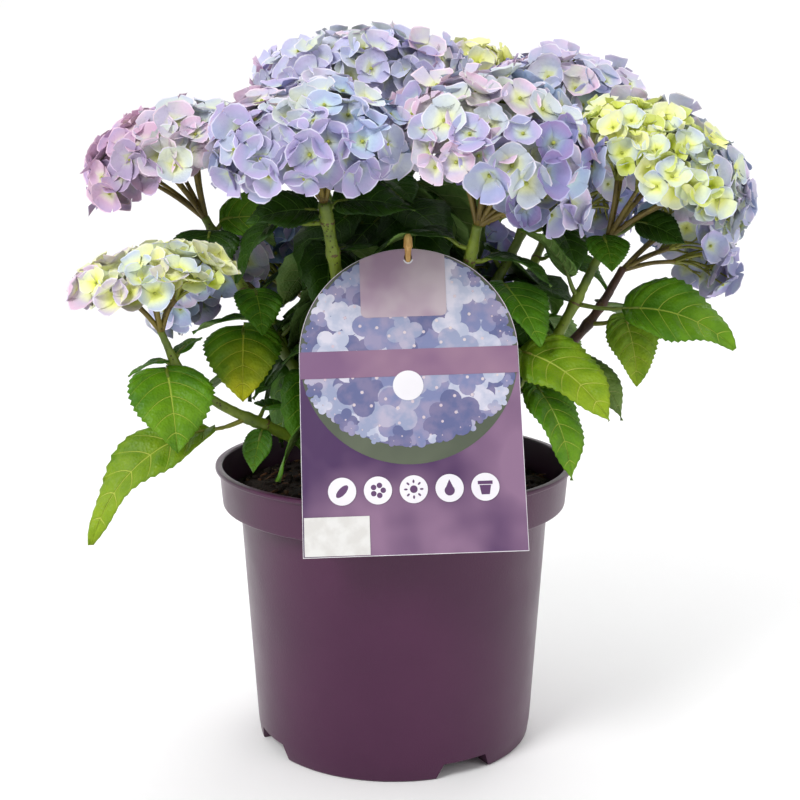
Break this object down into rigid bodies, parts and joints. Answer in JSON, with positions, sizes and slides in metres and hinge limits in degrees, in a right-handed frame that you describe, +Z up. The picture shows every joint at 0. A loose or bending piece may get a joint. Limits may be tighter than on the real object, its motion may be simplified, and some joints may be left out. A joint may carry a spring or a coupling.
{
  "type": "hydrangea shrub in a pot",
  "caption": "Mophead hydrangea with leafy green stems and large lilac, pink and yellow-green flower heads, in a round nursery pot with a card label on a stick.",
  "frame": {"origin": "middle of the pot's flat underside, on the surface that it stands on", "axes": "+Z up along the pot's axis, -Y towards the side where the label leans on the rim, +X to the right as seen from that side"},
  "size_m": [0.4233, 0.3192, 0.4628],
  "materials": {
    "pot": "satin plum plastic",
    "soil": "dark moist compost with bark",
    "old_wood": "rough brown bark",
    "stem": "olive green stem with specks",
    "leaf": "fresh green leaf, satin",
    "flower_lilac": "soft lilac-blue sepals",
    "flower_pink": "soft pink-mauve sepals",
    "flower_yellow": "young yellow-green sepals",
    "flower_blue": "soft pale blue sepals",
    "label_card": "printed purple card with a clear film",
    "label_stick": "plain pale wood"
  },
  "bodies": {
    "root": {"pot": "pot", "soil": "soil", "woody_base": "old_wood", "label_card": "label_card", "label_stick": "label_stick", "stem_front_left": "stem", "leaves_front_left": "leaf", "flower_front_left": "flower_lilac", "stem_front_right": "stem", "leaves_front_right": "leaf", "flower_front_right": "flower_lilac", "stem_left_low": "stem", "leaves_left_low": "leaf", "flower_left_low": "flower_yellow", "stem_left_high": "stem", "leaves_left_high": "leaf", "flower_left_high": "flower_pink", "stem_right_high": "stem", "leaves_right_high": "leaf", "flower_right_high": "flower_yellow", "stem_right_low": "stem", "leaves_right_low": "leaf", "flower_right_low": "flower_blue", "stem_top": "stem", "leaves_top": "leaf", "flower_top": "flower_lilac", "stem_right_top": "stem", "leaves_right_top": "leaf", "flower_right_top": "flower_blue", "stem_left_back": "stem", "leaves_left_back": "leaf", "flower_left_back": "flower_lilac", "stem_back_left_low": "stem", "leaves_back_left_low": "leaf", "flower_back_left_low": "flower_blue", "stem_back_low": "stem", "leaves_back_low": "leaf", "flower_back_low": "flower_lilac", "stem_back_top": "stem", "leaves_back_top": "leaf", "flower_back_top": "flower_yellow", "stem_back_left_high": "stem", "leaves_back_left_high": "leaf", "flower_back_left_high": "flower_lilac", "stem_back_right": "stem", "leaves_back_right": "leaf", "flower_back_right": "flower_lilac"}
  },
  "joints": []
}
